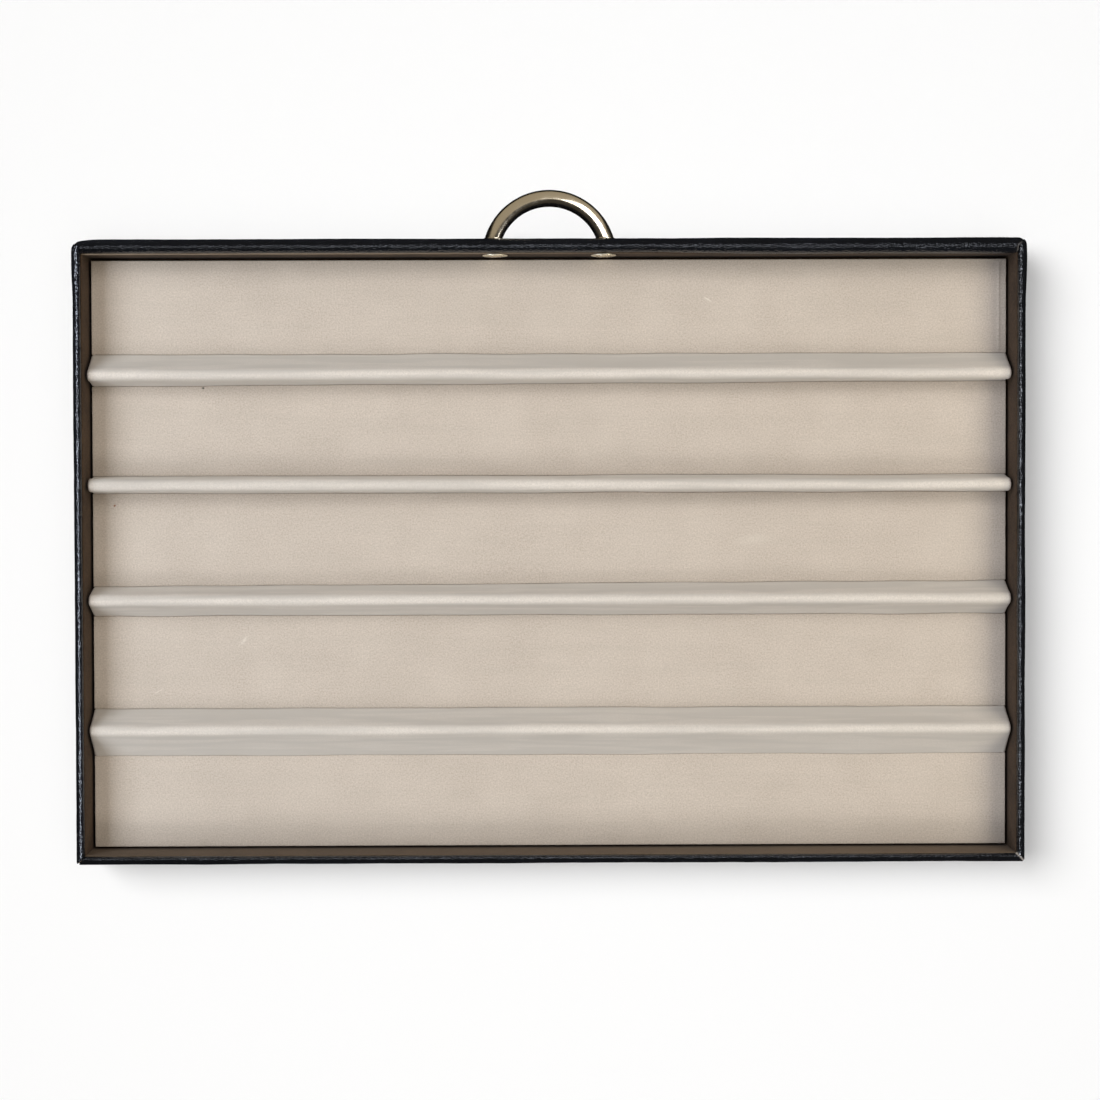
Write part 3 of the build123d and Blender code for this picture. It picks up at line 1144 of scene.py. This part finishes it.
@dataclass
class RidgeShape:
    """One ridge's lines, in Y at any X: straight between its ends, with a little hand wander."""

    number: int
    front: tuple[float, float]
    rear: tuple[float, float]
    crown: tuple[float, float]
    half: float = 219.5

    def line(self, ends: tuple[float, float], x: Array | float, seed: int, wander: float) -> Array:
        """Gives one line's Y.

        Args:
            ends: Its Y at the left and right end.
            x: Where along the ridge.
            seed: Seed for its wander.
            wander: How far it wanders.
        Returns:
            Y at each x.
        """
        waves = Waves(self.number * 10 + seed, wander, 50.0, 260.0, 6)
        fade = np.clip((self.half - np.abs(x)) / 12, 0, 1)
        share = (x + self.half) / (2 * self.half)
        return ends[0] + (ends[1] - ends[0]) * share + waves.line(x) * fade

    def front_y(self, x: Array | float) -> Array:
        """Gives the front foot's Y."""
        return self.line(self.front, x, 1, 0.2)

    def rear_y(self, x: Array | float) -> Array:
        """Gives the rear foot's Y."""
        return self.line(self.rear, x, 2, 0.2)

    def crown_y(self, x: Array | float) -> Array:
        """Gives the crown's Y."""
        return self.line(self.crown, x, 3, 0.06)


@dataclass
class Insert:
    """The lift-out insert: padded suede panels, and suede tented over battens between them."""

    panel_suede: Material
    # The ridges' suede, a lighter copy of the panels' suede that paints the extra light on the
    # ridges.
    ridge_suede_painted_lighter: Material
    ridges: tuple[RidgeShape, ...]
    board_top: float = 6.5
    panel_top: float = 10.5
    crown_top: float = 20.9
    crown_round: float = 3.2
    end_round: float = 1.1
    gap: float = 0.06
    edge_round: float = 0.4
    suede: float = 0.62
    glue: float = 0.05
    flank_sag: float = 0.22
    foot_painted_shading: float = 0.8
    crown_painted_shading: float = 0.75
    fold_x: float = 215.9
    fold_height: float = 0.19
    fold_reach: float = 0.7
    fold_fall: float = 0.06
    tucked_in: float = 10.0

    def build(self) -> None:
        """Makes the panels and the ridges."""
        between = [None, *self.ridges, None]
        for number, (behind, before) in enumerate(zip(between, between[1:]), start=1):
            self.panel(number, behind, before)
        for ridge in self.ridges:
            self.ridge(ridge)

    def panel(self, number: int, behind: RidgeShape | None, before: RidgeShape | None) -> None:
        """Makes one padded panel with eased edges. The first one's suede folds at its right end.

        Args:
            number: The panel's number from the pull.
            behind: The ridge towards the pull, if any.
            before: The ridge towards the front, if any.
        """
        low, high = box_mm(f"panel_{number}_suede")
        half, wide = float(high[0]), float(high[1] - low[1])
        fine = (0.0, 0.06, 0.16, 0.3, 0.5, 0.8, 1.4, 2.4)
        folded = (*fine[:-1], 2.0, 2.4, 2.7, 3.0, 3.25, 3.5, 3.75, 4.0, 4.3, 4.7, 5.4, 6.4)
        us = steps(-half, half, 2.0, folded if number == 1 else fine)
        vs = steps(0.0, wide, 1.6, fine)
        waves = Waves(70 + number, 0.05, 9.0, 60.0, 12)
        broad = Waves(170 + number, 0.06, 80.0, 300.0, 6)
        rim = Waves(270 + number, 0.05, 14.0, 90.0, 8)

        def across_y(u: Array, v: Array) -> Array:
            """Gives Y between the panel's two long edges.

            Args:
                u, v: Places in X, and from the front edge to the rear one.
            Returns:
                Y for each.
            """
            front = low[1] + 0 * u if before is None else before.rear_y(u) + self.gap
            rear = high[1] + 0 * u if behind is None else behind.front_y(u) - self.gap
            return front + (rear - front) * v / wide

        def face(u: Array, v: Array) -> Array:
            """Places the suede, rolled over at the edges.

            Args:
                u, v: Places in X, and from the front edge to the rear one.
            Returns:
                The points.
            """
            y = across_y(u, v)
            end, side, ease = half - np.abs(u), np.minimum(v, wide - v), self.edge_round
            past = np.hypot(np.clip(ease - end, 0, None), np.clip(ease - side, 0, None))
            drop = ease - np.sqrt(ease ** 2 - np.clip(past, 0, ease) ** 2)
            calm = np.clip(np.minimum(end, side) / 3, 0, 1)
            z = self.panel_top - 0.03 - drop + calm * (waves.at(u, y) + broad.at(u, y))
            if number == 1:
                over = u - self.fold_x
                z = z - self.fold_fall * np.clip(over, 0, None) * calm
                z = z + self.fold_height * np.exp(-(over / self.fold_reach) ** 2) * calm
            inset = 0.01 + np.abs(rim.line(y)) * np.clip(1 - end / 2, 0, 1)
            return np.stack([u - np.sign(u) * inset * (end < 2), y, z], axis=-1)

        def back(u: Array, v: Array) -> Array:
            """Places the underside, on the insert's board."""
            z = self.board_top + 0.02 + 0 * u
            return np.stack([u - np.sign(u) * 0.05, across_y(u, v), z], axis=-1)

        piece = slab(f"panel_{number}_pad", us, vs, face, back)
        store(piece, "lean", np.zeros(len(piece.data.vertices)))
        fit_out(
            piece, self.panel_suede, "insert", "beige_suede",
            f"panel_{number}_suede", f"panel_{number}_foam", f"panel_{number}_card",
        )

    def section(
        self, front: float, rear: float, crown: float, sag: float
    ) -> tuple[Array, Array, Array]:
        """Draws a ridge across X: two flanks that sag a little, and a round crown.

        Args:
            front: The front foot's Y.
            rear: The rear foot's Y.
            crown: The crown's Y.
            sag: How far the flanks hang in.
        Returns:
            Points as Y and Z, unit normals, and at each the share of painted sheen and shade of the
            slope, with the nap's lie, from 0 to 1.
        """
        centre = self.crown_top - self.crown_round
        rise = centre - self.panel_top
        flanks, angles = [], []
        for foot, way in ((front, 1.0), (rear, -1.0)):
            run = (crown - foot) * way
            far = math.hypot(run, rise)
            slope = math.atan2(rise, run) + math.asin(min(1.0, self.crown_round / far))
            normal = (-way * math.sin(slope), math.cos(slope))
            touch = (crown + self.crown_round * normal[0], centre + self.crown_round * normal[1])
            angles.append(math.atan2(touch[1] - centre, touch[0] - crown))
            low = np.linspace(self.board_top + self.glue, self.panel_top, 4)[:-1]
            # The third value is the share of painted sheen and shade of the slope, with the nap's
            # lie: high at the foot and on the flanks, easing towards the crown.
            rows = [(foot, z, self.foot_painted_shading) for z in low]
            for share in np.linspace(0, 1, 10)[:-1]:
                hang = sag * math.sin(math.pi * share)
                rows.append((
                    foot + (touch[0] - foot) * share - normal[0] * hang,
                    self.panel_top + (touch[1] - self.panel_top) * share - normal[1] * hang,
                    1.0 - 0.25 * share,
                ))
            flanks.append(rows)
        top = []
        for angle in np.linspace(*angles, 17):
            y, z = math.cos(angle), math.sin(angle)
            # Painted sheen and shade: none on top of the crown, more down its sides.
            lean = self.crown_painted_shading * abs(y) ** 1.5
            top.append((crown + self.crown_round * y, centre + self.crown_round * z, lean))
        whole = np.array(flanks[0] + top + flanks[1][::-1])
        line = whole[:, :2]
        ahead = np.gradient(line, axis=0)
        ahead /= np.maximum(np.linalg.norm(ahead, axis=1), 1e-9)[:, None]
        return line, np.stack([-ahead[:, 1], ahead[:, 0]], axis=1), whole[:, 2]

    def ridge(self, shape: RidgeShape) -> None:
        """Makes one ridge's suede, tented from foot to foot and closed at both ends.

        Args:
            shape: The ridge's lines.
        """
        node = f"ridge_{shape.number}_suede"
        half = float(box_mm(node)[1][0])
        xs = steps(-half, half, 2.0, (0.0, 0.05, 0.15, 0.3, 0.55, 0.9, 1.5, 2.5, 4.0))
        puffs = Waves(300 + shape.number, 0.07, 8.0, 50.0, 14)
        tight = Waves(400 + shape.number, 0.16, 30.0, 120.0, 6)
        outer, inner, painted_shadings = [], [], []
        for x in xs:
            feet = (float(shape.front_y(x)), float(shape.rear_y(x)), float(shape.crown_y(x)))
            sag = self.flank_sag + float(tight.line(x)) * 0.8
            line, normals, lean = self.section(*feet, sag)
            lift = puffs.at(x, way_along(line)) * np.clip((line[:, 1] - self.panel_top) / 2, 0, 1)
            near = max(0.0, self.end_round - (half - abs(x)))
            eased = self.end_round - math.sqrt(max(0.0, self.end_round ** 2 - near ** 2))
            skin = line + normals * (lift - eased - 0.02)[:, None]
            far = np.full(len(line), x)
            inside = np.clip(far, -half + self.suede, half - self.suede)
            outer.append(np.column_stack([far, skin]))
            inner.append(np.column_stack([inside, skin - normals * self.suede]))
            painted_shadings.append(lean)
        closing = (0.04, 0.3, 0.55, 0.78, 0.93)
        base = self.board_top + self.glue
        middles = [np.array([float(shape.crown_y(x)), base]) for x in (xs[0], xs[-1])]
        skins = []
        for rows in (outer, inner):
            caps = []
            for edge, middle in zip((rows[0], rows[-1]), middles):
                shrunk = [middle + (edge[:, 1:] - middle) * share for share in closing]
                caps.append([np.column_stack([edge[:, 0], cap]) for cap in shrunk])
            skins.append(np.array(caps[0] + rows + caps[1][::-1]))
        painted_shadings = [painted_shadings[0]] * len(closing) + painted_shadings + [painted_shadings[-1]] * len(closing)
        piece = wrap(f"ridge_{shape.number}_cover", *skins)
        store(piece, "lean", np.tile(np.array(painted_shadings).ravel(), 2))
        fit_out(piece, self.ridge_suede_painted_lighter, "insert", "beige_suede", node)
        girth = way_along(skins[0][len(skins[0]) // 2])[-1]


# Studio


class Target(Enum):
    """What a light falls on: the ground, the pull and each rim have their own in the photograph."""

    PART = ()
    GROUND = ("floor",)
    PULL = ("pull_half_ring", "pull_collar_pair")
    LEFT_RIM = ("left_wall_leather",)
    RIGHT_RIM = ("right_wall_leather",)
    REAR_RIM = ("rear_wall_leather",)
    FRONT_RIM = ("front_wall_leather",)
    WALLS = (*LEFT_RIM, *RIGHT_RIM, *REAR_RIM, *FRONT_RIM)


def look_back(piece: Piece, place: tuple[float, float, float]) -> None:
    """Turns a light towards the middle of the tray, as seen from a place."""
    piece.rotation_euler = (-Vector(place)).to_track_quat("-Z", "Y").to_euler()


@dataclass(frozen=True)
class Lamp:
    """A rectangular soft light that looks at the middle of the tray."""

    name: str
    place: tuple[float, float, float]
    size: tuple[float, float]
    watts: float
    colour: str
    target: Target = Target.PART

    def build(self) -> Piece:
        """Makes the light.

        Returns:
            The light's object.
        """
        data = bpy.data.lights.new(self.name, "AREA")
        data.shape = "RECTANGLE"
        data.size, data.size_y = self.size
        data.energy = self.watts
        data.color = linear(self.colour)[:3]
        lamp = put(self.name, data)
        lamp.location = self.place
        look_back(lamp, self.place)
        return lamp


@dataclass
class Studio:
    """A white table with its own light, a soft bank on each side, and a camera overhead."""

    eye: tuple[float, float, float] = (-0.01391, 0.0447, 0.87627)
    turn: tuple[float, float, float] = (-1.084, -0.266, -0.175)
    lens: float = 58.97
    sensor: float = 36.0
    shift: tuple[float, float] = (0.01905, -0.05345)
    sun: float = 2.2
    sun_from: tuple[float, float, float] = (-0.8, 0.4, 1.0)
    sun_width: float = 38.0
    floor_half: float = 3.0
    floor_z: float = -0.0004
    palest: tuple[float, float, float] = (0.1, 0.3, 0.95)
    lamps: tuple[Lamp, ...] = (
        Lamp("bank_left", (-0.99, 0.0, 0.86), (2.4, 0.62), 22.6, "E8F4FF"),
        Lamp("bank_right", (0.99, 0.05, 0.86), (2.4, 0.62), 15.4, "FFFBE9"),
        Lamp("panel_rear", (0.25, 0.78, 1.05), (1.3, 0.45), 4.8, "FFFFFF"),
        Lamp("panel_front", (0.0, -1.05, 0.85), (1.4, 0.4), 4.3, "FFFFFF"),
        Lamp("left_rim", (0.03, -0.08, 1.5), (0.2, 1.2), 24.0, "E6EEFF", Target.LEFT_RIM),
        Lamp("right_rim", (-0.8, -0.08, 1.5), (0.2, 1.2), 14.0, "EEF3FF", Target.RIGHT_RIM),
        Lamp("rear_rim", (0.02, -0.2, 1.5), (1.6, 0.2), 5.0, "EEF3FF", Target.REAR_RIM),
        Lamp("front_rim", (0.02, 1.35, 1.5), (1.6, 0.2), 8.5, "EEF3FF", Target.FRONT_RIM),
        Lamp("walls_front", (0.6, -1.2, 0.35), (1.6, 0.5), 45.0, "FFFFFF", Target.WALLS),
        Lamp("walls_rear", (-0.6, 1.2, 0.35), (1.6, 0.5), 45.0, "FFFFFF", Target.WALLS),
        Lamp("pull_sky", (0.0, 0.95, 0.6), (2.8, 1.7), 5.8, "FFF3DC", Target.PULL),
        Lamp("pull_window", (0.57, 0.5, 0.95), (0.85, 0.7), 13.5, "F6F9FF", Target.PULL),
        Lamp("ground_overhead", (0.0, 0.0, 1.8), (1.6, 1.6), 17.4, "FFFFFF", Target.GROUND),
        Lamp("ground_dome", (0.0, -0.1, 1.2), (2.0, 2.0), 2.4, "FFFFFF", Target.GROUND),
    )

    def build(self) -> None:
        """Makes the floor, the world, the lights and the camera."""
        self.floor()
        self.world()
        for lamp in self.lamps:
            self.aim(lamp.build(), lamp.target)
        data = bpy.data.lights.new("ground_sun", "SUN")
        data.energy = self.sun
        data.angle = math.radians(self.sun_width)
        sun = put("ground_sun", data)
        look_back(sun, self.sun_from)
        self.aim(sun, Target.GROUND)
        data = bpy.data.cameras.new("camera")
        data.lens = self.lens
        data.sensor_width = self.sensor
        data.shift_x, data.shift_y = self.shift
        camera = put("camera", data)
        camera.location = self.eye
        camera.rotation_euler = tuple(math.radians(angle) for angle in self.turn)
        bpy.context.scene.camera = camera
        bpy.context.scene.view_settings.view_transform = "Standard"

    @staticmethod
    def group(name: str, pieces: Sequence[str], state: str) -> bpy.types.Collection:
        """Gathers pieces for a light to take in or leave out.

        Args:
            name: The group's name.
            pieces: The pieces' names.
            state: INCLUDE or EXCLUDE.
        Returns:
            The group.
        """
        group = bpy.data.collections.new(name)
        for place, piece in enumerate(pieces):
            group.objects.link(bpy.data.objects[piece])
            group.collection_objects[place].light_linking.link_state = state
        return group

    def aim(self, lamp: Piece, target: Target) -> None:
        """Makes a light fall on its target, or on all that has no light of its own.

        One of the ground's lights throws no shadow, and the others none of the pull: in the
        photograph the ground inside the pull is as white as beside it.

        Args:
            lamp: The light.
            target: What the light is for.
        """
        link = lamp.light_linking
        title, shade = f"{lamp.name}_light", f"{lamp.name}_shade"
        if target is Target.PART:
            apart = sorted({name for other in Target for name in other.value})
            link.receiver_collection = self.group(title, apart, "EXCLUDE")
        else:
            link.receiver_collection = self.group(title, target.value, "INCLUDE")
        if target is Target.WALLS:
            lamp.visible_glossy = False
        if lamp.name == "ground_overhead":
            link.blocker_collection = self.group(shade, Target.GROUND.value, "INCLUDE")
        elif target is Target.GROUND:
            link.blocker_collection = self.group(shade, Target.PULL.value, "EXCLUDE")

    def floor(self) -> None:
        """Makes the white table top, which the polished metal doesn't mirror."""
        mesh = bpy.data.meshes.new("floor")
        far, low = self.floor_half, self.floor_z
        corners = [(-far, -far, low), (far, -far, low), (far, far, low), (-far, far, low)]
        mesh.from_pydata(corners, [], [(0, 1, 2, 3)])
        floor = put("floor", mesh)
        look = bpy.data.materials.new("white_paper")
        look.use_nodes = True
        fill(
            look.node_tree.nodes["Principled BSDF"],
            {"Base Color": linear("F6F6F6"), "Roughness": 0.9, "Specular IOR Level": 0.1},
        )
        mesh.materials.append(look)
        floor.visible_glossy = False

    def world(self) -> None:
        """Makes the room: a grey ceiling that is palest to the rear, and dark low down."""
        world = bpy.data.worlds.new("studio")
        bpy.context.scene.world = world
        world.use_nodes = True
        tree = Tree(world.node_tree)
        place = tree.add(Kind.COORDINATES, (), "Generated")
        near = tree.add(Kind.DOT, (place, tuple(Vector(self.palest).normalized())))
        height = tree.add(Kind.SMOOTH_RANGE, (near, 0.0, 0.5))
        room = tree.add(Kind.MIX, (height, linear("121110"), linear("403D39")))
        fill(world.node_tree.nodes["Background"], {"Color": room, "Strength": 1.0})


# Everything


def dress_cores(board: Material) -> None:
    """Gives the stiff pieces that stay as packed their bare materials.

    Args:
        board: The fibre board's material.
    """
    kinds = {
        "_board": board,
        "_card": Core("grey_card", "B4B0A8", "96928B", (4.0, 4.0, 1.0)).material(),
        "_batten": Core("pale_wood", "CFB083", "A98455", (60.0, 1.6, 1.6)).material(),
    }
    for name, node in frame["nodes"].items():
        for ending, look in kinds.items():
            if name.endswith(ending):
                node.data.materials.clear()
                node.data.materials.append(look)


def main() -> None:
    """Builds the tray, the pull, the insert and the studio in order."""
    logging.basicConfig(level=logging.INFO, format="%(message)s")
    nickel = Nickel("polished_nickel", "D6CBB6", 0.17).material()
    brushed = Nickel("brushed_nickel", "F4EAD6", 0.34).material()
    leather = Leather("black_grained_leather", "0A0B0E", "101216", 1.05, 0.27, 0.18).material()
    lining = Cloth("taupe_lining_cloth", "4F3D2E", "2F231A", 0.7, 0.03).material()
    felt = Cloth("black_felt", "1E1E20", "0E0E0F", 1.0, 0.1).material()
    board = Core("fibre_board", "A98862", "8B6C49", (2.5, 2.5, 2.5)).material()
    marks = (
        Mark(-147.4, -43.3, 8.0, 2.4, 50.0, "D9D0C5", 0.45),
        Mark(76.1, 120.1, 6.0, 1.2, 150.0, "DCD3C8", 0.5),
        Mark(97.7, 4.8, 26.0, 7.0, 5.0, "D2C8BB", 0.22),
        Mark(-188.2, -67.3, 7.0, 0.9, 30.0, "D9D0C5", 0.4),
        Mark(-166.2, 78.2, 2.4, 1.7, 0.0, "14110E", 1.0),
        Mark(-208.9, 22.0, 1.9, 1.4, 60.0, "7A4420", 1.0),
    )
    panel_suede = Suede(
        "beige_suede_panels", "C9BBAF", "AB9D91", "A79C90", marks=marks, smear_share=0.12
    ).material()
    # The ridges' suede is a lighter copy of the panels' suede: painted light for the extra light
    # and sheen on the ridges.
    ridge_suede_painted_lighter = Suede(
        "beige_suede_ridges", "DBD0C6", "C5BAB1", "BBB2AA", smear_share=0.6, smear_wide=4.0
    ).material()
    Tray(leather, lining, felt, board).build()
    Pull(nickel, brushed).build()
    ridges = (
        RidgeShape(1, (79.2, 80.9), (94.2, 94.2), (84.4, 84.4)),
        RidgeShape(2, (27.7, 27.7), (35.9, 35.9), (31.9, 31.2)),
        RidgeShape(3, (-31.1, -31.1), (-17.1, -15.2), (-23.1, -23.1)),
        RidgeShape(4, (-98.5, -98.5), (-75.9, -75.9), (-85.2, -85.2)),
    )
    Insert(panel_suede, ridge_suede_painted_lighter, ridges).build()
    dress_cores(board)
    Studio().build()


if __name__ == "__main__":
    main()
